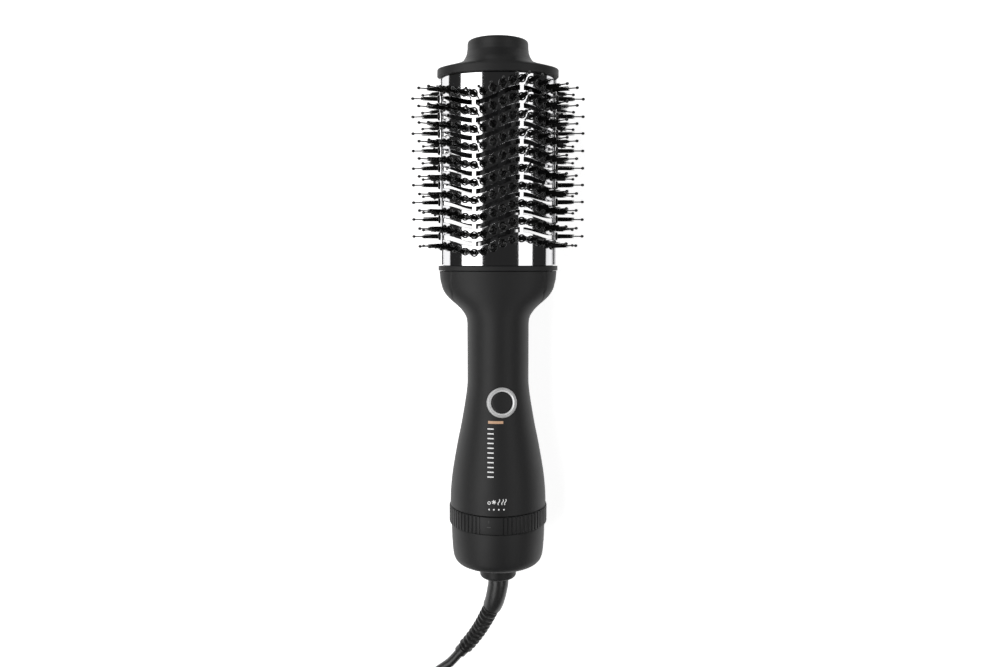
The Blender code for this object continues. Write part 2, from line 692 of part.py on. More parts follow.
def cord_tube(name, points):
    data = bpy.data.curves.new(name, "CURVE")
    data.dimensions = "3D"
    data.bevel_depth = CORD_RADIUS * MM
    data.bevel_resolution = 2
    data.use_fill_caps = True
    spline = data.splines.new("POLY")
    spline.points.add(len(points) - 1)
    for vertex, point in zip(spline.points, points):
        vertex.co = (*(point * MM), 1.0)
    data.materials.append(material("rubber_black"))
    piece = bpy.data.objects.new(name, data)
    bpy.context.collection.objects.link(piece)


def make_lead():
    route = smooth_path([on_table(*stop) for stop in BOOT_ROUTE + CORD_ROUTE], 2)
    boot_points = 2 * (len(BOOT_ROUTE) - 1) + 1
    boot = route[:boot_points]
    radii = np.interp(range(boot_points), [0, 4, 6, boot_points - 1], [6.5, 6.4, 5.2, 4.6]).tolist()
    pivot = (0.0, SHIFT - COLLAR_END * math.cos(TILT), LIFT - COLLAR_END * math.sin(TILT))
    sweep("cord_boot", boot, radii, "rubber_black", None, sides=12, origin=pivot)
    lead = route[boot_points - 1:]
    lead[0] = lead[0] + (lead[1] - lead[0]).normalized() * 2.0 * GAP
    cord_tube("power_cord", lead)
    flat = Matrix.Translation(on_table(*COIL_CENTRE, 0.0) * MM) @ Matrix.Rotation(-math.pi / 2.0, 4, "X")
    coil_frame = empty("coil_frame", None, flat)
    tube("cord_coil", COIL_INNER_RADIUS, COIL_OUTER_RADIUS, 0.1, COIL_HEIGHT + 0.1, "rubber_black",
         coil_frame, sides=36)
    lead = [on_table(*stop) for stop in PLUG_LEAD_ROUTE]
    cord_tube("plug_lead", smooth_path(lead, 2))
    plug_start = lead[-1] + Vector((GAP, 0.0, 0.0))
    across = Matrix.Translation(plug_start * MM) @ Matrix.Rotation(math.pi / 2.0, 4, "Z")
    plug_frame = empty("plug_frame", None, across)
    body = [(0.0, 0.0, 0.0), (4.2, 4.2, 0.0), (4.8, 4.8, 10.0), (6.0, 5.6, 16.0), (11.0, 7.4, 22.0),
            (12.2, 8.2, 30.0), (12.2, 8.2, 40.0), (11.4, 7.4, 42.0), (0.0, 0.0, 42.0)]
    ring_piece("plug_body", body, "rubber_black", plug_frame, sides=16)
    for name, side in (("plug_blade_left", -6.35), ("plug_blade_right", 6.35)):
        box(name, (side - 0.75, 42.3, -3.15), (side + 0.75, 59.8, 3.15), "brass", plug_frame)


def main():
    clear_scene()
    lying = Matrix.Translation((0.0, SHIFT * MM, LIFT * MM)) @ Matrix.Rotation(TILT, 4, "X")
    brush = empty("brush_frame", None, lying)
    roll = math.asin(BUTTON_SIDE / HANDLE_RADIUS_AT_BUTTON)
    surface = Matrix.Translation((0.0, -BUTTON_STATION * MM, HANDLE_RADIUS_AT_BUTTON * MM))
    turned = Matrix.Rotation(roll, 4, "Y") @ surface @ Matrix.Rotation(-BUTTON_TILT, 4, "X")
    button_frame = empty("button_frame", brush, turned)
    pin_place = Matrix.Translation((0.0, -LATCH_STATION * MM, LATCH_HEIGHT * MM))
    latch_frame = empty("latch_frame", brush, pin_place)
    make_head(brush)
    make_covers(brush, button_frame)
    make_button(button_frame)
    make_latch(latch_frame)
    make_heater(brush)
    make_fan(brush)
    make_controls(brush)
    make_end(brush)
    make_lead()


main()
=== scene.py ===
"""Looks of the hot air brush: its surfaces, bristles, print, mains lead, lights and camera.

Sizes are in millimetres in the brush's own frame, as in the CAD: X to the right, Y towards the tip, Z out of
the button side. A place along the brush is its station, the distance from the joint between head and handle,
positive towards the cord. The lead's heights are above the table. Shapes are drawn in millimetres and then
placed in the shared frame, in metres.
"""

import json
import math
import random

import bmesh
import bpy
import numpy as np
from mathutils import Matrix, Vector

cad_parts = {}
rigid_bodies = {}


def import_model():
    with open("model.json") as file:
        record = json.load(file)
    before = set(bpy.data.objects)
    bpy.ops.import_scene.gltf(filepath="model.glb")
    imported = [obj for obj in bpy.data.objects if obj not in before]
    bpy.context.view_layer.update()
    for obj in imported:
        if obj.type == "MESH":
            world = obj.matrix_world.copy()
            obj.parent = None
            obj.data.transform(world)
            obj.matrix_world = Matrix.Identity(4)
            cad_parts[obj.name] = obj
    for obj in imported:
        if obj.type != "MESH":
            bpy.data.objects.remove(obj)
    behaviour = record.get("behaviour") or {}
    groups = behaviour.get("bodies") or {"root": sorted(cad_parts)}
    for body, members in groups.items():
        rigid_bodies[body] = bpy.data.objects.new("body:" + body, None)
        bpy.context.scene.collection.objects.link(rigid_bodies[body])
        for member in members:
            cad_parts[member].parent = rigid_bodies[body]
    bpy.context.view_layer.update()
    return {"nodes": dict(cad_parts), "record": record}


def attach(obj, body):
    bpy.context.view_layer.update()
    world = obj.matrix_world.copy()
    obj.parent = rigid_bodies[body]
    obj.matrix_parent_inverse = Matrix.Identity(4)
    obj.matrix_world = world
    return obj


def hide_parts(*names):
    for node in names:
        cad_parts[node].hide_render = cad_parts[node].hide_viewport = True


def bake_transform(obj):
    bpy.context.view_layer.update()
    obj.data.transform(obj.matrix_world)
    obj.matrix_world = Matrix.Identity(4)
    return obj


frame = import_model()

MM = 0.001

# Brush head
BARREL_HALF_WIDTH = 35.6
BARREL_ASPECT = 0.58
BARREL_WALL = 0.9
BARREL_START = -122.0
BARREL_END = -3.5
RIM_HALF_WIDTH = 38.6
SLOT_HEIGHT = 2.8
SLOT_BANDS = 6
SLOT_STEPS = 14
BRIDGE_WIDTH = 2.6
STRIP_HEIGHT = 1.9
ROW_COUNT = 10
ROW_FIRST = -16.2
ROW_PITCH = 10.86
WAVE_HEIGHT = 3.4
WAVE_OVERTONE = 1.8
BRISTLES_PER_ROW = 30
BRISTLE_LENGTH = 18.0
STRIP_BRISTLE_SHIFT = 6.2
BRISTLE_SHAPES = 9
FIBRES_PER_TUFT = 30
TUFT_RADIUS = 1.4
FIBRE_HEIGHTS = (9.8, 11.8)
GOLDEN_ANGLE = 2.399963
BALL_RADIUS = 0.95
BALL_HALF_LENGTH = 1.15

# Handle
NECK_RADIUS = 20.0
BELL_HALF_HEIGHT = 22.0
BELL_END = 34.0
COVER_WALL = 1.8
COVER_END = 153.8
SEAM_GAP = 0.12
SCREW_STATION = 145.5
BUTTON_STATION = 82.9
BUTTON_SIDE = 2.6
BUTTON_TILT = math.radians(8.6)
HANDLE_RADIUS_AT_BUTTON = 21.2
RING_RADIUS = 32.3
RING_START = 154.1
RING_END = 165.6
RIB_PITCH = 2.9
PAD_WIDTH = 14.8
PAD_ANGLE = math.radians(-7.4)
CAP_END = 192.9
COLLAR_END = 203.6

# Print on the handle
LEVEL_ANGLES = (-10.2, -4.7, 1.0, 6.9)
ICON_STATION = 144.4
DOT_STATION = 149.2
ICON_RADIUS = 31.3
COPPER_BAR_STATION = 95.2
TICK_COUNT = 11
TICK_FIRST = 99.3
TICK_PITCH = 2.95
PRINT_DEPTH = 0.25
PRINT_RISE = 0.06

HANDLE_OUTLINE = [
    (0.0, 38.0), (3.3, 37.7), (5.9, 37.4), (8.5, 36.7), (11.1, 36.1), (13.7, 34.8), (16.3, 32.9),
    (18.9, 30.3), (24.1, 24.5), (29.3, 20.9), (34.6, 20.0), (40.0, 20.0), (48.0, 20.0), (56.0, 20.0),
    (64.0, 20.0), (71.5, 20.0), (76.8, 20.4), (82.2, 21.1), (90.2, 22.4), (100.9, 24.3), (111.6, 26.5),
    (122.5, 28.5), (133.2, 30.2), (144.1, 31.3), (COVER_END, 31.6),
]
SEAM_OUTLINE = [(0.0, 14.0), (13.7, 12.0), (18.9, 8.0), (24.1, 5.0), (34.6, 0.0), (COVER_END, 0.0)]

# Mains lead: (side, station, height above the table)
BOOT_ROUTE = [
    (0.0, 204.6, 30.9), (0.0, 210.0, 30.7), (-2.3, 221.5, 28.6), (-5.8, 231.0, 24.0), (-9.7, 240.4, 18.7),
    (-14.3, 249.9, 13.4), (-20.0, 259.1, 9.0), (-26.9, 267.8, 5.8),
]
CORD_ROUTE = [
    (-33.7, 276.2, 3.8), (-41.3, 281.8, 3.4), (-55.5, 292.4, 3.4), (-70.0, 302.9, 3.4), (-83.5, 315.0, 3.4),
    (-94.0, 329.5, 3.4), (-100.0, 345.5, 3.4),
]
PLUG_LINE = 418.6
PLUG_AXIS_HEIGHT = 8.6
PLUG_LEAD_ROUTE = [
    (-49.0, 414.6, 9.2), (-38.0, 417.6, 8.4), (-27.0, PLUG_LINE, 8.2), (-18.5, PLUG_LINE, 8.5),
    (-12.0, PLUG_LINE, PLUG_AXIS_HEIGHT),
]
COIL_CENTRE = (-45.0, 362.0)
COIL_INNER_TURN = 27.0
COIL_TURNS = 7.24
COIL_TURNS_INWARD = 3.45
COIL_TURNS_JOINING = 0.2
COIL_TURNS_CLIMBING = 0.35
COIL_STEPS_PER_TURN = 30
TURN_PITCH = 6.6
CORD_RADIUS = 3.25
BOOT_RIBS = 11
BOOT_ELBOW_END = 23.0
BOOT_COLLAR_LENGTH = 5.0
BLADE_SIDE = 6.35

# The camera, over the brush: where it stands in the brush's frame, and how far it looks towards the cord
CAMERA_SIDE = 1.3
CAMERA_ALONG = 10.9
CAMERA_HEIGHT = 547.0
CAMERA_TURN = math.radians(5.4)
CAMERA_LENS = 30.24
SENSOR_WIDTH = 36.0

# Lights and table, in metres and watts: name, place, width, length, power
SOFTBOXES = [
    ("softbox_left", (-0.62, 0.0, 0.86), 0.62, 1.9, 12.0),
    ("softbox_right", (0.66, 0.0, 0.86), 0.42, 1.9, 5.0),
]
LIGHT_TARGET = (0.0, 0.0, 0.03)
WORLD_STRENGTH = 0.03
TABLE_HALF_SIZE = 3.0
TABLE_WHITE = (0.9, 0.9, 0.9, 1.0)
TABLE_GLOW = 0.72
WHITE = (1.0, 1.0, 1.0, 1.0)


def brush_matrix():
    """From the brush's own frame, in millimetres, to the shared frame, in metres.

    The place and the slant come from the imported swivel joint.
    """
    swivel = next(j for j in frame["record"]["behaviour"]["joints"] if j["name"] == "swivel_spin")
    along = Vector(swivel["axis"]).normalized()
    joint = Vector(swivel["pos_m"]) + along * COLLAR_END * MM
    side = Vector((1.0, 0.0, 0.0))
    up = side.cross(along)
    turn = Matrix((side, along, up)).transposed().to_4x4()
    return Matrix.Translation(joint) @ turn @ Matrix.Scale(MM, 4)


BRUSH = brush_matrix()
BUTTON = (BRUSH @ Matrix.Rotation(math.asin(BUTTON_SIDE / HANDLE_RADIUS_AT_BUTTON), 4, "Y")
          @ Matrix.Translation((0.0, -BUTTON_STATION, HANDLE_RADIUS_AT_BUTTON))
          @ Matrix.Rotation(-BUTTON_TILT, 4, "X"))
TABLE = Matrix.Translation((0.0, BRUSH.translation.y, 0.0)) @ Matrix.Scale(MM, 4)


# ---- Camera and lights ---------------------------------------------------------------------------

def make_camera():
    """The camera above the brush, upright with it."""
    data = bpy.data.cameras.new("camera")
    data.lens = CAMERA_LENS
    data.sensor_width = SENSOR_WIDTH
    data.clip_start = 0.01
    camera = bpy.data.objects.new("camera", data)
    bpy.context.collection.objects.link(camera)
    place = BRUSH @ Matrix.Translation((CAMERA_SIDE, CAMERA_ALONG, CAMERA_HEIGHT))
    aim = BRUSH.to_3x3().normalized() @ Matrix.Rotation(-CAMERA_TURN, 3, "X")
    camera.matrix_world = Matrix.LocRotScale(place.translation, aim.to_quaternion(), None)
    bpy.context.scene.camera = camera


def area_light(name, place, width, length, power):
    """A softbox aimed at the brush, its length along Y."""
    data = bpy.data.lights.new(name, "AREA")
    data.shape = "RECTANGLE"
    data.size = width
    data.size_y = length
    data.energy = power
    light = bpy.data.objects.new(name, data)
    bpy.context.collection.objects.link(light)
    light.location = place
    aim = (Vector(LIGHT_TARGET) - Vector(place)).normalized()
    along = Vector((0.0, 1.0, 0.0))
    side = along.cross(-aim).normalized()
    turn = Matrix((side, (-aim).cross(side), -aim)).transposed()
    light.rotation_euler = turn.to_euler()


def make_studio():
    """Two long softboxes over a white table that glows, in faint white surroundings."""
    scene = bpy.context.scene
    scene.view_settings.view_transform = "Standard"
    world = bpy.data.worlds.new("studio")
    world.use_nodes = True
    background = world.node_tree.nodes["Background"]
    background.inputs["Color"].default_value = WHITE
    background.inputs["Strength"].default_value = WORLD_STRENGTH
    scene.world = world
    for softbox in SOFTBOXES:
        area_light(*softbox)
    mesh = bpy.data.meshes.new("table")
    half = TABLE_HALF_SIZE
    mesh.from_pydata([(-half, -half, 0.0), (half, -half, 0.0), (half, half, 0.0), (-half, half, 0.0)], [],
                     [(0, 1, 2, 3)])
    table = bpy.data.objects.new("table", mesh)
    bpy.context.collection.objects.link(table)
    paint = bpy.data.materials.new("table_white")
    paint.use_nodes = True
    shader = paint.node_tree.nodes["Principled BSDF"]
    shader.inputs["Base Color"].default_value = TABLE_WHITE
    shader.inputs["Roughness"].default_value = 0.9
    shader.inputs["Specular IOR Level"].default_value = 0.1
    shader.inputs["Emission Color"].default_value = WHITE
    shader.inputs["Emission Strength"].default_value = TABLE_GLOW
    mesh.materials.append(paint)


# ---- Materials -----------------------------------------------------------------------------------

def surface(name, color, roughness, metallic, spread=0.06, tone=0.15, grain=900.0, bump=0.05, stretch=None,
            shine=0.5):
    """A material with fine grain, patchy gloss and a slight change of tone; stretch draws the grain out."""
    made = bpy.data.materials.new(name)
    made.use_nodes = True
    nodes = made.node_tree.nodes
    links = made.node_tree.links
    shader = nodes["Principled BSDF"]
    shader.inputs["Metallic"].default_value = metallic
    shader.inputs["Specular IOR Level"].default_value = shine
    place = nodes.new("ShaderNodeTexCoord")
    scaled = nodes.new("ShaderNodeMapping")
    scaled.inputs["Scale"].default_value = stretch or (1.0, 1.0, 1.0)
    links.new(place.outputs["Object"], scaled.inputs["Vector"])
    fine = nodes.new("ShaderNodeTexNoise")
    fine.inputs["Scale"].default_value = grain
    fine.inputs["Detail"].default_value = 3.0
    links.new(scaled.outputs["Vector"], fine.inputs["Vector"])
    broad = nodes.new("ShaderNodeTexNoise")
    broad.inputs["Scale"].default_value = grain / 25.0
    broad.inputs["Detail"].default_value = 2.0
    links.new(place.outputs["Object"], broad.inputs["Vector"])
    gloss = nodes.new("ShaderNodeMapRange")
    gloss.inputs["To Min"].default_value = max(0.02, roughness - spread)
    gloss.inputs["To Max"].default_value = roughness + spread
    links.new(broad.outputs["Fac"], gloss.inputs["Value"])
    links.new(gloss.outputs["Result"], shader.inputs["Roughness"])
    ramp = nodes.new("ShaderNodeValToRGB")
    ramp.color_ramp.elements[0].position = 0.3
    ramp.color_ramp.elements[1].position = 0.7
    ramp.color_ramp.elements[0].color = (*[c * (1.0 - tone) for c in color], 1.0)
    ramp.color_ramp.elements[1].color = (*[min(1.0, c * (1.0 + tone)) for c in color], 1.0)
    links.new(fine.outputs["Fac"], ramp.inputs["Fac"])
    links.new(ramp.outputs["Color"], shader.inputs["Base Color"])
    if bump:
        relief = nodes.new("ShaderNodeBump")
        relief.inputs["Strength"].default_value = bump
        relief.inputs["Distance"].default_value = 0.0002
        links.new(fine.outputs["Fac"], relief.inputs["Height"])
        links.new(relief.outputs["Normal"], shader.inputs["Normal"])
    return made


# Name: colour, roughness, metallic, and what differs from the usual grain
SURFACES = {
    "soft_black": ((0.0095, 0.0095, 0.0098), 0.52, 0.0, dict(spread=0.03, grain=2600.0, bump=0.10,
                                                             shine=0.34)),
    "barrel_metal": ((0.60, 0.60, 0.61), 0.07, 1.0, dict(spread=0.02, tone=0.03, grain=700.0, bump=0.01,
                                                         stretch=(1.0, 0.03, 1.0))),
    "bristle_black": ((0.004, 0.004, 0.004), 0.20, 0.0, dict(spread=0.03, tone=0.10, bump=0.0)),
    "tuft_black": ((0.003, 0.003, 0.003), 0.50, 0.0, dict(tone=0.30, bump=0.0, shine=0.15)),
    "dark_trim": ((0.020, 0.020, 0.020), 0.28, 0.0, dict()),
    "bezel_silver": ((0.48, 0.48, 0.48), 0.45, 0.3, dict(tone=0.16, grain=5000.0, bump=0.2)),
    # The bevel inside the button's ring: a near-white colour as a painted highlight, standing in for the
    # softboxes' reflection in the polished bevel.
    "bevel_painted_highlight": ((0.95, 0.95, 0.95), 0.25, 0.15, dict(spread=0.03, tone=0.03, bump=0.0)),
    "rubber_black": ((0.016, 0.016, 0.016), 0.36, 0.0, dict(spread=0.05, grain=1500.0, bump=0.08)),
    "steel": ((0.45, 0.45, 0.46), 0.30, 1.0, dict(tone=0.10)),
    "duct_dark": ((0.030, 0.030, 0.031), 0.35, 0.6, dict(tone=0.20)),
    "mica": ((0.50, 0.42, 0.30), 0.55, 0.0, dict(tone=0.25, grain=300.0)),
    "heater_wire": ((0.33, 0.31, 0.30), 0.35, 1.0, dict()),
    "inner_plastic": ((0.035, 0.035, 0.036), 0.50, 0.0, dict()),
    "brass": ((0.72, 0.55, 0.25), 0.28, 1.0, dict(tone=0.08)),
    "board_green": ((0.03, 0.16, 0.08), 0.45, 0.0, dict(tone=0.25, grain=400.0)),
    "print_white": ((0.92, 0.92, 0.92), 0.50, 0.0, dict(tone=0.04, bump=0.0)),
    "print_copper": ((0.60, 0.37, 0.23), 0.45, 0.0, dict(tone=0.08, bump=0.0)),
}


LOOKS = {name: surface(name, color, roughness, metallic, **grain)
         for name, (color, roughness, metallic, grain) in SURFACES.items()}


# ---- Mesh helpers --------------------------------------------------------------------------------

def add_piece(name, bm, look, body, nodes=(), place=BRUSH, edge=0.0, sharp=35.0):
    """A finished piece: placed, shaded, with rounded edges if asked, riding on its body."""
    bmesh.ops.recalc_face_normals(bm, faces=bm.faces)
    mesh = bpy.data.meshes.new(name)
    bm.to_mesh(mesh)
    bm.free()
    mesh.transform(place)
    mesh.shade_smooth()
    if edge == 0.0:
        mesh.set_sharp_from_angle(angle=math.radians(sharp))
    for one in ([look] if isinstance(look, str) else look):
        mesh.materials.append(LOOKS[one])
    piece = bpy.data.objects.new(name, mesh)
    bpy.context.collection.objects.link(piece)
    if edge:
        bevel = piece.modifiers.new("edges", "BEVEL")
        bevel.width = edge * MM
        bevel.segments = 2
        bevel.limit_method = "ANGLE"
        bevel.angle_limit = math.radians(sharp)
        bevel.harden_normals = True
        bevel.use_clamp_overlap = True
    if body:
        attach(piece, body)
    if nodes:
        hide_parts(*nodes)
    return piece


def join_loops(bm, loops, closed, material=0):
    """Skin neighbouring vertex loops; a loop of one vertex is a pole."""
    pairs = list(zip(loops, loops[1:]))
    if closed:
        pairs.append((loops[-1], loops[0]))
    for first, second in pairs:
        count = max(len(first), len(second))
        for i in range(count):
            corners = [first[i % len(first)], first[(i + 1) % len(first)],
                       second[(i + 1) % len(second)], second[i % len(second)]]
            face = bm.faces.new(list(dict.fromkeys(corners)))
            face.material_index = material


def cap_and_join(bm, loops):
    """Close both ends, and skin the loops between them."""
    bm.faces.new(loops[0])
    bm.faces.new(loops[-1])
    join_loops(bm, loops, closed=False)


def fillet(profile, radius, closed=True, steps=4):
    """Round the corners of a profile of equal-length tuples; poles stay as they are."""
    points = [Vector(p) for p in profile]
    rounded = []
    for i, corner in enumerate(points):
        at_end = not closed and i in (0, len(points) - 1)
        if at_end:
            rounded.append(tuple(corner))
            continue
        before = points[i - 1] - corner
        after = points[(i + 1) % len(points)] - corner
        reach = min(radius, before.length * 0.45, after.length * 0.45)
        start = corner + before.normalized() * reach
        end = corner + after.normalized() * reach
        for k in range(steps + 1):
            t = k / steps
            rounded.append(tuple(start * (1 - t) ** 2 + corner * 2 * t * (1 - t) + end * t * t))
    return rounded


def ovals(bm, sections, sides):
    """Loops round the brush's axis: (half width, half height, station); no width makes a pole."""
    loops = []
    for half_width, half_height, station in sections:
        if half_width == 0.0:
            loops.append([bm.verts.new((0.0, -station, 0.0))])
            continue
        angles = [2.0 * math.pi * i / sides for i in range(sides)]
        loops.append([bm.verts.new((half_width * math.sin(a), -station, half_height * math.cos(a)))
                      for a in angles])
    return loops


def ring_piece(name, sections, look, body, nodes=(), sides=96, radius=0.4, place=BRUSH):
    """A body turned or drawn round the brush's axis, with its profile's corners rounded."""
    bm = bmesh.new()
    closed = sections[0][0] != 0.0
    loops = ovals(bm, fillet(sections, radius, closed), sides)
    join_loops(bm, loops, closed)
    return add_piece(name, bm, look, body, nodes, place)


def round_sections(profile):
    """Sections of a turned shape from its (radius, station) profile."""
    return [(radius, radius, station) for radius, station in profile]


def smooth_path(points, steps):
    """Points on a Catmull-Rom curve through the given ones."""
    ends = [points[0] * 2.0 - points[1], *points, points[-1] * 2.0 - points[-2]]
    path = []
    for i in range(1, len(ends) - 2):
        before, here, there, after = ends[i - 1], ends[i], ends[i + 1], ends[i + 2]
        for step in range(steps):
            t = step / steps
            path.append(0.5 * (2.0 * here + (there - before) * t
                               + (2.0 * before - 5.0 * here + 4.0 * there - after) * t * t
                               + (3.0 * here - before - 3.0 * there + after) * t ** 3))
    path.append(points[-1].copy())
    return path


def even_path(points, spacing):
    """The same path with its points evenly spaced, and how far along it each one is."""
    line = np.array([tuple(p) for p in points])
    reach = np.concatenate(([0.0], np.cumsum(np.linalg.norm(np.diff(line, axis=0), axis=1))))
    count = int(reach[-1] / spacing) + 1
    stops = np.linspace(0.0, reach[-1], count)
    return [Vector([float(np.interp(s, reach, line[:, k])) for k in range(3)]) for s in stops], stops


def swept(bm, points, radii, sides):
    """A capped tube along points, its side carried on from point to point."""
    loops = []
    side = Vector((1.0, 0.0, 0.0))
    for i, point in enumerate(points):
        ahead = (points[min(i + 1, len(points) - 1)] - points[max(i - 1, 0)]).normalized()
        side = (side - ahead * side.dot(ahead)).normalized()
        up = ahead.cross(side)
        angles = [2.0 * math.pi * k / sides for k in range(sides)]
        loops.append([bm.verts.new(point + radii[i] * (side * math.cos(a) + up * math.sin(a)))
                      for a in angles])
    cap_and_join(bm, loops)


# ---- Barrel and bristles -------------------------------------------------------------------------

ARC_ANGLES = np.linspace(0.0, 2.0 * math.pi, 3601)
ARC_LENGTHS = np.concatenate(([0.0], np.cumsum(np.hypot(
    np.diff(BARREL_HALF_WIDTH * np.sin(ARC_ANGLES)),
    np.diff(BARREL_HALF_WIDTH * BARREL_ASPECT * np.cos(ARC_ANGLES))))))
PERIMETER = float(ARC_LENGTHS[-1])


def barrel_point(along):
    """Position and outward normal on the barrel at an arc length from the middle of its front."""
    angle = float(np.interp(along % PERIMETER, ARC_LENGTHS, ARC_ANGLES))
    tall = BARREL_HALF_WIDTH * BARREL_ASPECT
    normal = Vector((math.sin(angle) / BARREL_HALF_WIDTH, 0.0, math.cos(angle) / tall)).normalized()
    return Vector((BARREL_HALF_WIDTH * math.sin(angle), 0.0, tall * math.cos(angle))), normal


def wave(along):
    """How far the bristle rows and the slots swing towards the tip; the back mirrors the front."""
    quarter = PERIMETER / 4.0
    from_front = (along + quarter) % PERIMETER - quarter
    if from_front > quarter:
        from_front = 2.0 * quarter - from_front
    turn = math.pi * from_front / quarter
    return WAVE_HEIGHT * math.sin(turn) + WAVE_OVERTONE * math.sin(2.0 * turn)


def make_barrel():
    """The polished oval tube with its wavy slots, their edges rounded a little."""
    lines = [(BARREL_END, 0.0)]
    for k in range(ROW_COUNT - 1):
        slot_middle = ROW_FIRST - ROW_PITCH * (k + 0.5)
        lines += [(slot_middle + SLOT_HEIGHT / 2.0, 1.0), (slot_middle - SLOT_HEIGHT / 2.0, 1.0)]
    lines.append((BARREL_START, 0.0))
    band = PERIMETER / SLOT_BANDS
    step = (band - BRIDGE_WIDTH) / SLOT_STEPS
    stops = []
    for k in range(SLOT_BANDS):
        bridge_end = band * (k + 0.5) + BRIDGE_WIDTH / 2.0
        stops += [bridge_end + step * i for i in range(SLOT_STEPS + 1)]
    count = len(stops)
    bm = bmesh.new()
    skins = []
    for depth in (0.0, BARREL_WALL):
        skin = []
        for station, sway in lines:
            row = []
            for along in stops:
                point, normal = barrel_point(along)
                point = point - normal * depth
                row.append(bm.verts.new((point.x, -station + sway * wave(along), point.z)))
            skin.append(row)
        skins.append(skin)

    def solid(i, j):
        """Whether the wall stands between lines i and i + 1 at stop j: not in a slot, nor past an end."""
        in_slot = i % 2 == 1 and j % count % (SLOT_STEPS + 1) < SLOT_STEPS
        return 0 <= i < len(lines) - 1 and not in_slot

    for i in range(len(lines) - 1):
        for j in range(count):
            if not solid(i, j):
                continue
            k = (j + 1) % count
            for skin in skins:
                bm.faces.new([skin[i][j], skin[i][k], skin[i + 1][k], skin[i + 1][j]])
            edges = [((i, j), (i, k), solid(i - 1, j)), ((i + 1, j), (i + 1, k), solid(i + 1, j)),
                     ((i, j), (i + 1, j), solid(i, j - 1)), ((i, k), (i + 1, k), solid(i, j + 1))]
            for (a, b), (c, d), met in edges:
                if not met:
                    bm.faces.new([skins[0][a][b], skins[0][c][d], skins[1][c][d], skins[1][a][b]])
    add_piece("barrel", bm, "barrel_metal", "head", ["barrel_shell"], edge=0.25, sharp=50.0)


class MeshParts:
    """Vertices, faces and material numbers gathered from many small shapes."""

    def __init__(self):
        self.points = []
        self.faces = []
        self.looks = []
        self.count = 0

    def add_rings(self, rings, look, cap_start=True, cap_end=True, closed=False):
        """Rings are equal-sized arrays of points; neighbours are joined."""
        sides = len(rings[0])
        first = self.count
        self.points.append(np.concatenate(rings))
        pairs = [(k, k + 1) for k in range(len(rings) - 1)]
        if closed:
            pairs.append((len(rings) - 1, 0))
        for a, b in pairs:
            for i in range(sides):
                n = (i + 1) % sides
                self.faces.append((first + a * sides + i, first + a * sides + n,
                                   first + b * sides + n, first + b * sides + i))
                self.looks.append(look)
        if cap_start and not closed:
            self.faces.append(tuple(range(first + sides - 1, first - 1, -1)))
            self.looks.append(look)
        if cap_end and not closed:
            last = first + (len(rings) - 1) * sides
            self.faces.append(tuple(range(last, last + sides)))
            self.looks.append(look)
        self.count += sides * len(rings)

    def add_copy(self, other, turn, shift):
        """Another set of parts, turned by a 3 x 3 array and moved."""
        points = np.concatenate(other.points) @ turn.T + shift
        self.faces += [tuple(index + self.count for index in face) for face in other.faces]
        self.looks += other.looks
        self.points.append(points)
        self.count += len(points)


def circle(radius, height, sides, centre=(0.0, 0.0)):
    """A level circle of points round (x, y), as an array."""
    angles = 2.0 * math.pi * np.arange(sides) / sides
    return np.stack([centre[0] + radius * np.cos(angles), centre[1] + radius * np.sin(angles),
                     np.full(sides, height)], axis=1)


def bristle_cluster(draw):
    """One bristle: a moulded collar, a tuft of nylon round a ball-ended pin. Z is outward."""
    parts = MeshParts()
    collar = [(2.6, -0.3), (2.65, 0.3), (2.57, 0.65), (2.4, 0.9), (2.15, 1.0), (1.9, 0.9), (1.7, 0.6),
              (1.65, -0.3)]
    parts.add_rings([circle(r, z, 20) for r, z in collar], 0, closed=True)
    lean = np.array([draw.uniform(-0.4, 0.4), draw.uniform(-0.4, 0.4)])
    for i in range(FIBRES_PER_TUFT):
        out = TUFT_RADIUS * math.sqrt((i + 0.5) / FIBRES_PER_TUFT)
        angle = i * GOLDEN_ANGLE
        base = np.array([out * math.cos(angle), out * math.sin(angle)])
        top = base * draw.uniform(0.85, 1.1) + lean * 0.6
        height = draw.uniform(*FIBRE_HEIGHTS)
        middle = (base + top) / 2.0 * 0.97
        parts.add_rings([circle(0.17, 0.0, 4, base), circle(0.16, height * 0.5, 4, middle),
                         circle(0.09, height, 4, top)], 1, cap_start=False)
    ball_height = BRISTLE_LENGTH - BALL_HALF_LENGTH
    pin_lean = lean * 0.8
    rings = [circle(0.50, 0.0, 8), circle(0.42, 6.0, 8, pin_lean * 0.33),
             circle(0.38, ball_height - BALL_HALF_LENGTH * 0.9, 8, pin_lean)]
    parts.add_rings(rings, 0, cap_start=False, cap_end=False)
    ball = []
    for k in range(1, 8):
        angle = math.pi * k / 8
        height = ball_height - BALL_HALF_LENGTH * math.cos(angle)
        ball.append(circle(BALL_RADIUS * math.sin(angle), height, 12, pin_lean))
    parts.add_rings(ball, 0)
    return parts


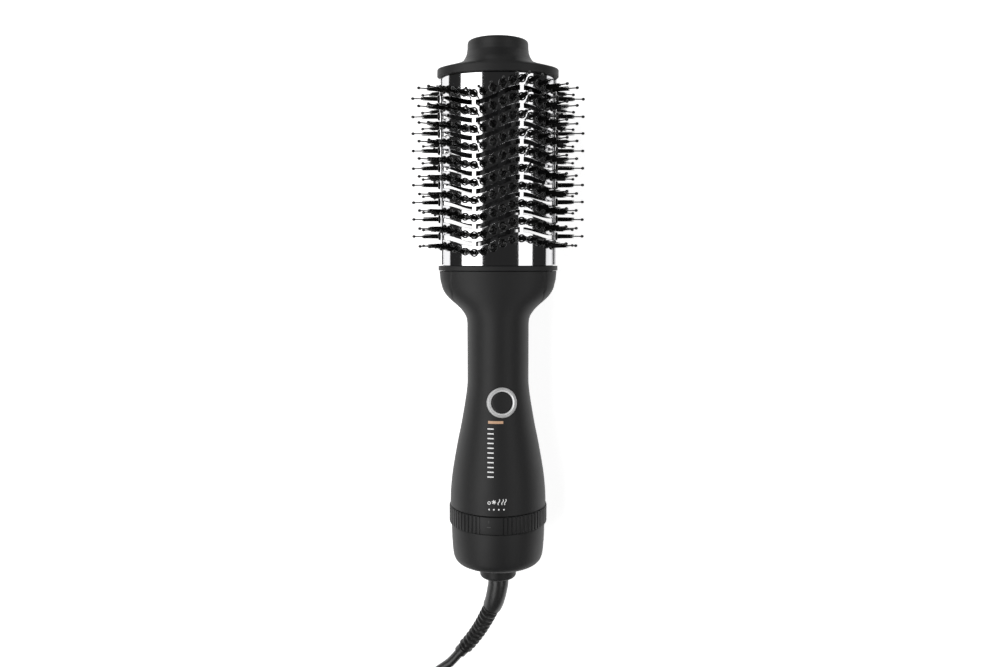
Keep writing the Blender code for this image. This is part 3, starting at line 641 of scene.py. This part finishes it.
def make_bristles():
    """Every row as one piece, from a few bristle shapes, each turned at random about its own pin."""
    draw = random.Random(7)
    clusters = [bristle_cluster(draw) for _ in range(BRISTLE_SHAPES)]
    step = PERIMETER / BRISTLES_PER_ROW
    for row in range(ROW_COUNT):
        parts = MeshParts()
        for column in range(BRISTLES_PER_ROW):
            along = step * (column + 0.5)
            point, normal = barrel_point(along)
            on_strip = min(abs(along - PERIMETER / 4.0), abs(along - 3.0 * PERIMETER / 4.0)) < step / 2.0
            if on_strip and row == ROW_COUNT - 1:
                continue
            point.y = -(ROW_FIRST - ROW_PITCH * row) + wave(along)
            if on_strip:
                point += normal * STRIP_HEIGHT
                point.y += STRIP_BRISTLE_SHIFT
            side = Vector((0.0, 1.0, 0.0)).cross(normal)
            spin = Matrix.Rotation(draw.uniform(0.0, 2.0 * math.pi), 3, normal)
            turn = np.array(spin @ Matrix((side, Vector((0.0, 1.0, 0.0)), normal)).transposed())
            parts.add_copy(clusters[draw.randrange(len(clusters))], turn, np.array(point))
        mesh = bpy.data.meshes.new("bristles")
        mesh.from_pydata(np.concatenate(parts.points).tolist(), [], parts.faces)
        mesh.transform(BRUSH)
        mesh.materials.append(LOOKS["bristle_black"])
        mesh.materials.append(LOOKS["tuft_black"])
        mesh.polygons.foreach_set("material_index", parts.looks)
        mesh.shade_smooth()
        mesh.set_sharp_from_angle(angle=math.radians(50.0))
        mesh.validate()
        piece = bpy.data.objects.new(f"bristles_{row + 1:02d}", mesh)
        bpy.context.collection.objects.link(piece)
        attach(piece, "head")
        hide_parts(f"bristle_row_{row + 1:02d}")


def make_strips():
    """The bright cover strips along the barrel's narrow sides."""
    for name, sign in (("left", -1.0), ("right", 1.0)):
        outline = fillet([(0.1, -2.1), (STRIP_HEIGHT - 0.35, -1.9), (STRIP_HEIGHT, 0.0),
                          (STRIP_HEIGHT - 0.35, 1.9), (0.1, 2.1)], 0.5, steps=3)
        bm = bmesh.new()
        loops = []
        for station in (BARREL_START + 0.6, BARREL_END - 0.6):
            loops.append([bm.verts.new((sign * (BARREL_HALF_WIDTH + out), -station, z))
                          for out, z in outline])
        cap_and_join(bm, loops)
        add_piece(f"side_cover_{name}", bm, "barrel_metal", "head", [f"side_strip_{name}"])


def make_head():
    """The barrel and its bristles, the cool-touch tip, and the rim at the joint with the handle."""
    make_barrel()
    make_bristles()
    make_strips()
    tip = [(0.0, 0.0, -144.5), (17.6, 17.6, -144.6), (18.9, 18.9, -144.2), (19.3, 19.3, -143.0),
           (19.35, 19.35, -140.0), (19.7, 19.7, -137.0), (20.6, 20.6, -134.6), (22.0, 21.6, -132.2),
           (24.0, 21.9, -130.7), (27.5, 22.0, -129.5), (31.0, 22.1, -128.8), (35.0, 22.2, -128.1),
           (38.2, 22.3, -127.4), (RIM_HALF_WIDTH, 22.4, -126.8), (RIM_HALF_WIDTH, 22.4, -122.5),
           (34.4, 19.9, -122.3), (33.0, 18.8, -125.5), (17.0, 17.0, -131.0), (17.0, 17.0, -142.6),
           (0.0, 0.0, -142.6)]
    ring_piece("cool_tip", tip, "soft_black", "head", ["cool_tip_cap"], radius=0.5)
    rim = [(a, a * BARREL_ASPECT, station) for a, station in
           ((RIM_HALF_WIDTH, -3.4), (RIM_HALF_WIDTH, -0.35), (33.8, -0.3), (33.8, 8.5), (32.0, 8.5),
            (32.0, -3.3), (35.2, -3.3))]
    ring_piece("head_rim", rim, "soft_black", "head", ["head_base_ring"], radius=0.5)


# ---- Handle --------------------------------------------------------------------------------------

def outline_samples():
    """The handle's outline, smoothly resampled: (station, half width, half height)."""
    path = smooth_path([Vector((s, w, 0.0)) for s, w in HANDLE_OUTLINE], 4)
    samples = []
    for point in path:
        wide = max(point.y, NECK_RADIUS)
        tall = wide
        if point.x < BELL_END:
            share = (wide - NECK_RADIUS) / (HANDLE_OUTLINE[0][1] - NECK_RADIUS)
            tall = NECK_RADIUS + (BELL_HALF_HEIGHT - NECK_RADIUS) * share
        samples.append((point.x, wide, tall))
    return samples


def make_cover(name, node, front):
    """Half of the handle's shell, cut along the seam and hollow inside."""
    outer_points = 61
    inner_points = 15
    bm = bmesh.new()
    loops = []
    for station, wide, tall in outline_samples():
        seam = float(np.interp(station, [s for s, _ in SEAM_OUTLINE], [h for _, h in SEAM_OUTLINE]))
        land = seam + (SEAM_GAP if front else -SEAM_GAP)
        loop = []
        for count, inset in ((outer_points, 0.0), (inner_points, COVER_WALL)):
            a = wide - inset
            b = tall - inset
            start = math.asin(land / b)
            end = math.pi - start
            if not front:
                start += 2.0 * math.pi
            arc = [start + (end - start) * i / (count - 1) for i in range(count)]
            points = [(a * math.cos(t), -station, b * math.sin(t)) for t in arc]
            loop += points if inset == 0.0 else points[::-1]
        loops.append([bm.verts.new(point) for point in loop])
    cap_and_join(bm, loops)
    return add_piece(name, bm, "soft_black", "handle", [node], edge=0.22, sharp=50.0)


def cut(piece, name, place, profile, sides=48):
    """Take a turned shape out of a piece; the tool is applied and removed."""
    bm = bmesh.new()
    loops = ovals(bm, round_sections(profile), sides)
    join_loops(bm, loops, closed=False)
    bmesh.ops.recalc_face_normals(bm, faces=bm.faces)
    mesh = bpy.data.meshes.new(name)
    bm.to_mesh(mesh)
    bm.free()
    mesh.transform(place)
    tool = bpy.data.objects.new(name, mesh)
    bpy.context.collection.objects.link(tool)
    step = piece.modifiers.new(name, "BOOLEAN")
    step.operation = "DIFFERENCE"
    step.object = tool
    bpy.context.view_layer.update()
    parent = piece.parent
    world = piece.matrix_world.copy()
    made = bpy.data.meshes.new_from_object(piece.evaluated_get(bpy.context.evaluated_depsgraph_get()))
    piece.modifiers.clear()
    piece.data = made
    piece.parent = parent
    piece.matrix_world = world
    bpy.data.objects.remove(tool)


def make_covers():
    """Both halves of the shell, the well for the button, and the rear screw in its well."""
    front = make_cover("handle_front", "front_cover", True)
    rear = make_cover("handle_rear", "rear_cover", False)
    upright = Matrix.Rotation(math.pi / 2.0, 4, "X")
    cut(front, "button_well", BUTTON @ upright, [(0.0, -12.0), (8.2, -12.0), (8.2, 12.0), (0.0, 12.0)])
    screw_line = BRUSH @ Matrix.Translation((0.0, -SCREW_STATION, 0.0)) @ upright
    cut(rear, "screw_well", screw_line, [(0.0, 27.9), (3.5, 27.9), (3.6, 36.0), (0.0, 36.0)])
    head = [(0.0, 0.0, 20.0), (1.3, 1.3, 20.0), (1.3, 1.3, 28.3), (3.1, 3.1, 28.3), (3.1, 3.1, 29.4),
            (1.5, 1.5, 30.5), (0.9, 0.9, 30.5), (0.7, 0.7, 29.6), (0.0, 0.0, 29.6)]
    ring_piece("rear_screw", head, "steel", "handle", ["cover_screw"], sides=32, radius=0.2,
               place=screw_line)


def saddle_loops(bm, profile, sides):
    """Loops of a (radius, height) profile, bent down at the sides to follow the round handle."""
    loops = []
    for radius, height in profile:
        if radius == 0.0:
            loops.append([bm.verts.new((0.0, 0.0, height))])
            continue
        loop = []
        for i in range(sides):
            angle = 2.0 * math.pi * i / sides
            x = radius * math.cos(angle)
            drop = math.sqrt(HANDLE_RADIUS_AT_BUTTON ** 2 - x * x) - HANDLE_RADIUS_AT_BUTTON
            loop.append(bm.verts.new((x, radius * math.sin(angle), height + drop)))
        loops.append(loop)
    return loops


def make_button():
    """A brushed ring whose inner bevel is coloured near white as a painted highlight of the softboxes'
    reflection, and a dished soft-touch button in it.
    """
    flange = [(6.95, -4.6), (6.95, 0.35)]
    bevel = [(6.95, 0.35), (7.05, 0.55), (7.75, 1.25), (7.9, 1.35)]
    face = [(7.9, 1.35), (9.2, 1.38), (9.5, 1.25), (9.65, 0.95), (9.65, -0.5), (8.0, -0.5), (8.0, -4.6),
            (6.95, -4.6)]
    bm = bmesh.new()
    # Material 1, the inner bevel, is the near-white painted highlight.
    for profile, material in ((flange, 0), (bevel, 1), (face, 0)):
        join_loops(bm, saddle_loops(bm, profile, 96), closed=False, material=material)
    bmesh.ops.remove_doubles(bm, verts=bm.verts, dist=0.0001)
    add_piece("bezel_ring", bm, ["bezel_silver", "bevel_painted_highlight"], "handle", ["button_bezel"],
              place=BUTTON, sharp=40.0)
    cap = [(0.0, 0.30), (2.0, 0.31), (4.0, 0.38), (5.6, 0.52), (6.2, 0.55), (6.5, 0.42), (6.65, 0.15),
           (6.65, -0.9), (2.4, -0.9), (2.4, -6.2), (0.0, -6.2)]
    bm = bmesh.new()
    join_loops(bm, saddle_loops(bm, cap, 64), closed=False)
    add_piece("button_cap", bm, "soft_black", "button", ["release_button"], place=BUTTON)


def on_handle(arc, station, lift):
    """A point on the grip, from an arc length beside its centre line and a station."""
    radius = float(np.interp(station, [s for s, _ in HANDLE_OUTLINE], [w for _, w in HANDLE_OUTLINE]))
    angle = arc / radius
    return Vector(((radius + lift) * math.sin(angle), -station, (radius + lift) * math.cos(angle)))


def inlay(name, strokes, look, width, closed=False):
    """Printed strokes on the grip: (arc, station) points drawn as thin raised ribbons."""
    bm = bmesh.new()
    for stroke in strokes:
        count = len(stroke)
        loops = []
        for i, (arc, station) in enumerate(stroke):
            after = stroke[(i + 1) % count] if closed else stroke[min(i + 1, count - 1)]
            before = stroke[i - 1] if closed else stroke[max(i - 1, 0)]
            ahead = Vector((after[0] - before[0], after[1] - before[1])).normalized()
            across = Vector((-ahead.y, ahead.x)) * width / 2.0
            loop = []
            for side, lift in ((-1, -PRINT_DEPTH), (1, -PRINT_DEPTH), (1, PRINT_RISE), (-1, PRINT_RISE)):
                loop.append(bm.verts.new(on_handle(arc + side * across.x, station + side * across.y, lift)))
            loops.append(loop)
        if closed:
            join_loops(bm, loops, closed=True)
        else:
            cap_and_join(bm, loops)
    add_piece(name, bm, look, "handle")


def level_stroke(start, end, station):
    """A stroke across the handle, with enough points to follow its curve."""
    return [(start + (end - start) * k / 12, station) for k in range(13)]


def heat_wave(arc, station):
    """A small upright wavy stroke."""
    return [(arc + 0.42 * math.sin(2.0 * math.pi * k / 12) + 0.25 - k * 0.04, station - 1.8 + 0.3 * k)
            for k in range(13)]


def ring_stroke(arc, station, radius, count=20):
    """A small circle."""
    angles = [2.0 * math.pi * k / count for k in range(count)]
    return [(arc + radius * math.cos(a), station + radius * math.sin(a)) for a in angles]


def make_print():
    """Plain marks: a copper bar, a column of white ticks, four level icons and their dots."""
    inlay("copper_bar", [level_stroke(-6.3, 3.4, COPPER_BAR_STATION)], "print_copper", 1.7)
    ticks = [level_stroke(-6.7, -2.7, TICK_FIRST + TICK_PITCH * k) for k in range(TICK_COUNT)]
    inlay("white_ticks", ticks, "print_white", 0.75)
    arcs = [math.radians(angle) * ICON_RADIUS for angle in LEVEL_ANGLES]
    inlay("off_mark", [ring_stroke(arcs[0], ICON_STATION + 0.6, 0.85)], "print_white", 0.4, closed=True)
    blades = []
    reach = 1.35
    for k in range(3):
        angle = math.pi * k / 3.0 + 0.3
        blades.append([(arcs[1] + sign * reach * math.cos(angle),
                        ICON_STATION + sign * reach * math.sin(angle)) for sign in (-1.0, 0.0, 1.0)])
    inlay("air_mark", blades, "print_white", 0.5)
    inlay("low_mark", [heat_wave(arcs[2], ICON_STATION)], "print_white", 0.5)
    inlay("high_mark", [heat_wave(arcs[3] - 0.9, ICON_STATION), heat_wave(arcs[3] + 0.9, ICON_STATION)],
          "print_white", 0.5)
    for k, arc in enumerate(arcs):
        dot = ring_stroke(arc, DOT_STATION, 0.28, 10)
        inlay(f"level_dot_{k + 1}", [dot], "print_white", 0.5, closed=True)


def make_control_ring():
    """The ribbed ring with its smooth pad, and the pointer moulded on the pad."""
    circumference = 2.0 * math.pi * RING_RADIUS
    rib_length = circumference - PAD_WIDTH
    rib_count = round(rib_length / RIB_PITCH)
    pad_half = PAD_WIDTH / 2.0 / RING_RADIUS
    rib_angle = (2.0 * math.pi - 2.0 * pad_half) / rib_count
    shape = [(0.0, 0.55), (0.14, 0.50), (0.24, 0.05), (0.40, 0.0), (0.76, 0.0), (0.86, 0.05)]
    stops = [(PAD_ANGLE - pad_half + 2.0 * pad_half * k / 10, 0.0) for k in range(11)]
    for rib in range(rib_count):
        start = PAD_ANGLE + pad_half + rib * rib_angle
        stops += [(start + part * rib_angle, depth) for part, depth in shape]
    stops.append((PAD_ANGLE - pad_half + 2.0 * math.pi - 0.004, 0.5))
    levels = [(28.4, RING_START, 0), (31.6, RING_START, 0), (RING_RADIUS - 0.12, RING_START + 0.25, 1),
              (RING_RADIUS, RING_START + 0.7, 1), (RING_RADIUS, RING_END - 0.7, 1),
              (RING_RADIUS - 0.12, RING_END - 0.25, 1), (31.6, RING_END, 0), (28.4, RING_END, 0)]
    bm = bmesh.new()
    loops = []
    for radius, station, ribbed in levels:
        loop = []
        for angle, depth in stops:
            r = radius - depth * ribbed
            loop.append(bm.verts.new((r * math.sin(angle), -station, r * math.cos(angle))))
        loops.append(loop)
    join_loops(bm, loops, closed=True)
    add_piece("level_ring", bm, "soft_black", "ring", ["control_ring"], sharp=30.0)
    pointer = math.radians(LEVEL_ANGLES[0])
    marks = [("pointer_tick", 157.0, 0.16, 0.9), ("pointer_bar", 160.6, 1.3, 0.2)]
    for name, station, half_arc, half_length in marks:
        bm = bmesh.new()
        loops = []
        for radius in (RING_RADIUS - 0.3, RING_RADIUS + 0.12):
            loop = []
            for side, along in ((-1, -1), (1, -1), (1, 1), (-1, 1)):
                angle = pointer + side * half_arc / RING_RADIUS
                loop.append(bm.verts.new((radius * math.sin(angle), -(station + along * half_length),
                                          radius * math.cos(angle))))
            loops.append(loop)
        cap_and_join(bm, loops)
        add_piece(name, bm, "dark_trim", "ring")


def make_end():
    """The end cap below the ring, and the collar the swivel turns in."""
    start = RING_END + 0.3
    cap = round_sections([(30.95, start), (30.6, 177.0), (30.1, 184.0), (29.6, 188.0), (28.5, 190.7),
                          (26.8, 192.3), (24.6, CAP_END), (20.0, CAP_END), (20.0, 191.1), (26.0, 190.6),
                          (27.8, 187.5), (28.6, 177.0), (28.8, start)])
    ring_piece("lower_cap", cap, "soft_black", "handle", ["end_cap"], sides=128, radius=1.2)
    collar = round_sections([(7.8, 186.0), (12.1, 186.0), (12.1, 202.8), (11.3, 203.9), (10.0, 204.4),
                             (6.0, 204.4), (6.0, 201.4), (7.8, 199.0)])
    ring_piece("swivel_socket", collar, "soft_black", "handle", ["swivel_collar"], radius=0.8)


# ---- Mains lead ----------------------------------------------------------------------------------

def on_table(side, station, height):
    """A point of the lead: height is above the table."""
    return Vector((side, -station, height))


def boot_radius(reach, total):
    """Smooth elbow, then ribs, then a short end collar."""
    collar_start = total - BOOT_COLLAR_LENGTH
    if reach < BOOT_ELBOW_END:
        return 6.85 - 0.5 * (reach / BOOT_ELBOW_END) ** 2
    if reach > collar_start:
        return 4.3
    share = (reach - BOOT_ELBOW_END) / (collar_start - BOOT_ELBOW_END)
    phase = share * BOOT_RIBS % 1.0
    crest = 5.75 - 0.6 * share
    core = 3.9 - 0.4 * share
    rise = min(1.0, max(0.0, (0.5 - abs(phase - 0.5)) * 7.0 - 1.75))
    return core + (crest - core) * rise


def coil_points():
    """From the lead's last free point, in along the table to the inner turn, up a layer, and out again."""
    centre_side, centre_station = COIL_CENTRE
    start_side, start_station, start_height = CORD_ROUTE[-1]
    start_angle = math.atan2(start_station - centre_station, start_side - centre_side)
    start_radius = math.hypot(start_side - centre_side, start_station - centre_station)
    outer = COIL_INNER_TURN + TURN_PITCH * (COIL_TURNS_INWARD - COIL_TURNS_JOINING)
    count = int(COIL_TURNS * COIL_STEPS_PER_TURN)
    points = []
    for i in range(1, count + 1):
        turned = COIL_TURNS * i / count
        height = start_height
        if turned < COIL_TURNS_JOINING:
            t = turned / COIL_TURNS_JOINING
            radius = start_radius + (outer - start_radius) * t * t * (3.0 - 2.0 * t)
        elif turned < COIL_TURNS_INWARD:
            radius = outer - TURN_PITCH * (turned - COIL_TURNS_JOINING)
        elif turned < COIL_TURNS_INWARD + COIL_TURNS_CLIMBING:
            t = (turned - COIL_TURNS_INWARD) / COIL_TURNS_CLIMBING
            radius = COIL_INNER_TURN
            height += 2.0 * CORD_RADIUS * t * t * (3.0 - 2.0 * t)
        else:
            radius = COIL_INNER_TURN + TURN_PITCH * (turned - COIL_TURNS_INWARD - COIL_TURNS_CLIMBING)
            height += 2.0 * CORD_RADIUS
        angle = start_angle - 2.0 * math.pi * turned
        points.append(on_table(centre_side + radius * math.cos(angle),
                               centre_station + radius * math.sin(angle), height))
    return points


def make_lead():
    """The boot on the swivel, the coiled lead, its tie and its plug."""
    steps = 8
    route = smooth_path([on_table(*stop) for stop in BOOT_ROUTE + CORD_ROUTE], steps)
    boot_count = steps * (len(BOOT_ROUTE) - 1) + 1
    boot_path, reach = even_path(route[:boot_count], 0.42)
    bm = bmesh.new()
    swept(bm, boot_path, [boot_radius(float(r), float(reach[-1])) for r in reach], 28)
    boot = add_piece("cord_relief", bm, "rubber_black", "swivel", ["cord_boot"], place=TABLE)
    lead = route[boot_count - 1:-1:4] + [route[-1]] + coil_points()
    lead += smooth_path([lead[-1]] + [on_table(*stop) for stop in PLUG_LEAD_ROUTE], 3)[1:]
    bm = bmesh.new()
    swept(bm, lead, [CORD_RADIUS] * len(lead), 20)
    cord = add_piece("mains_lead", bm, "rubber_black", None,
                     ["power_cord", "cord_coil", "plug_lead"], place=TABLE)
    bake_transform(cord)
    plug = make_plug()
    tie = make_tie()


def make_plug():
    """A flat two-pin plug lying on the table, its pins to the right."""
    plug_end = on_table(-11.7, PLUG_LINE, PLUG_AXIS_HEIGHT)
    plug_place = TABLE @ Matrix.Translation(plug_end) @ Matrix.Rotation(math.pi / 2.0, 4, "Z")
    relief = [(0.0, 0.0, 0.0), (4.1, 4.1, 0.0)]
    for k in range(4):
        start = 1.5 + 3.2 * k
        relief += [(5.0 + 0.1 * k, 4.9 + 0.1 * k, start), (5.0 + 0.1 * k, 4.9 + 0.1 * k, start + 1.7),
                   (4.2, 4.1, start + 2.0), (4.2, 4.1, start + 2.9)]
    body = relief + [(6.4, 5.8, 16.0), (11.0, 7.4, 22.0), (12.2, 8.2, 30.0), (12.2, 8.2, 40.0),
                     (11.4, 7.4, 42.0), (0.0, 0.0, 42.0)]
    pieces = [ring_piece("plug_shell", body, "rubber_black", "handle", ["plug_body"],
                         sides=48, radius=0.9, place=plug_place)]
    for name, side in (("left", -BLADE_SIDE), ("right", BLADE_SIDE)):
        outline = fillet([(41.6, -3.15), (58.0, -3.15), (59.8, -1.6), (59.8, 1.6), (58.0, 3.15),
                          (41.6, 3.15)], 0.6)
        bm = bmesh.new()
        loops = [[bm.verts.new((side + offset, -station, height)) for station, height in outline]
                 for offset in (-0.75, 0.75)]
        cap_and_join(bm, loops)
        pieces.append(add_piece(f"blade_{name}", bm, "brass", "handle", [f"plug_blade_{name}"],
                                place=plug_place, edge=0.2, sharp=50.0))
    return pieces


def make_tie():
    """A flat strap round the coil's turns, at its right side."""
    centre_side, centre_station = COIL_CENTRE
    inner = 22.9
    outer = 54.6
    top = 13.6
    bottom = 0.3
    half_width = 4.0
    bm = bmesh.new()
    loops = []
    for inset, side in ((0.0, -1), (0.0, 1), (0.7, 1), (0.7, -1)):
        corners = [(inner + inset, bottom), (outer - inset, bottom), (outer - inset, top - inset),
                   (inner + inset, top - inset)]
        loops.append([bm.verts.new(on_table(centre_side + r, centre_station + side * half_width, z))
                      for r, z in fillet(corners, 3.0)])
    join_loops(bm, loops, closed=True)
    return add_piece("coil_tie", bm, "rubber_black", "handle", place=TABLE)


# ---- CAD parts that keep their shape -------------------------------------------------------------

KEPT = {
    "duct_dark": ["air_guide_tube"],
    "steel": ["button_spring", "latch_pin", "thermostat", "motor_shaft", "motor_can", "inlet_filter"],
    "mica": ["heater_sleeve", "heater_frame"],
    "heater_wire": ["heater_coil"],
    "inner_plastic": ["spring_seat", "latch_lever", "thermal_fuse", "fan_shroud", "fan_impeller",
                      "motor_guide_vanes", "ring_sleeve", "switch_rotor", "inlet_grille"],
    "dark_trim": ["swivel_ball"],
    "brass": ["switch_contacts", "swivel_contact"],
    "board_green": ["motor_terminal_plate", "switch_board"],
    "rubber_black": ["live_wire", "neutral_wire"],
}


def paint_kept_nodes():
    """Give the CAD parts inside the shell their materials."""
    for look, names in KEPT.items():
        for name in names:
            for holder in frame["nodes"][name].material_slots:
                holder.material = LOOKS[look]


make_camera()
make_lead()
make_studio()
make_head()
make_covers()
make_button()
make_print()
make_control_ring()
make_end()
paint_kept_nodes()
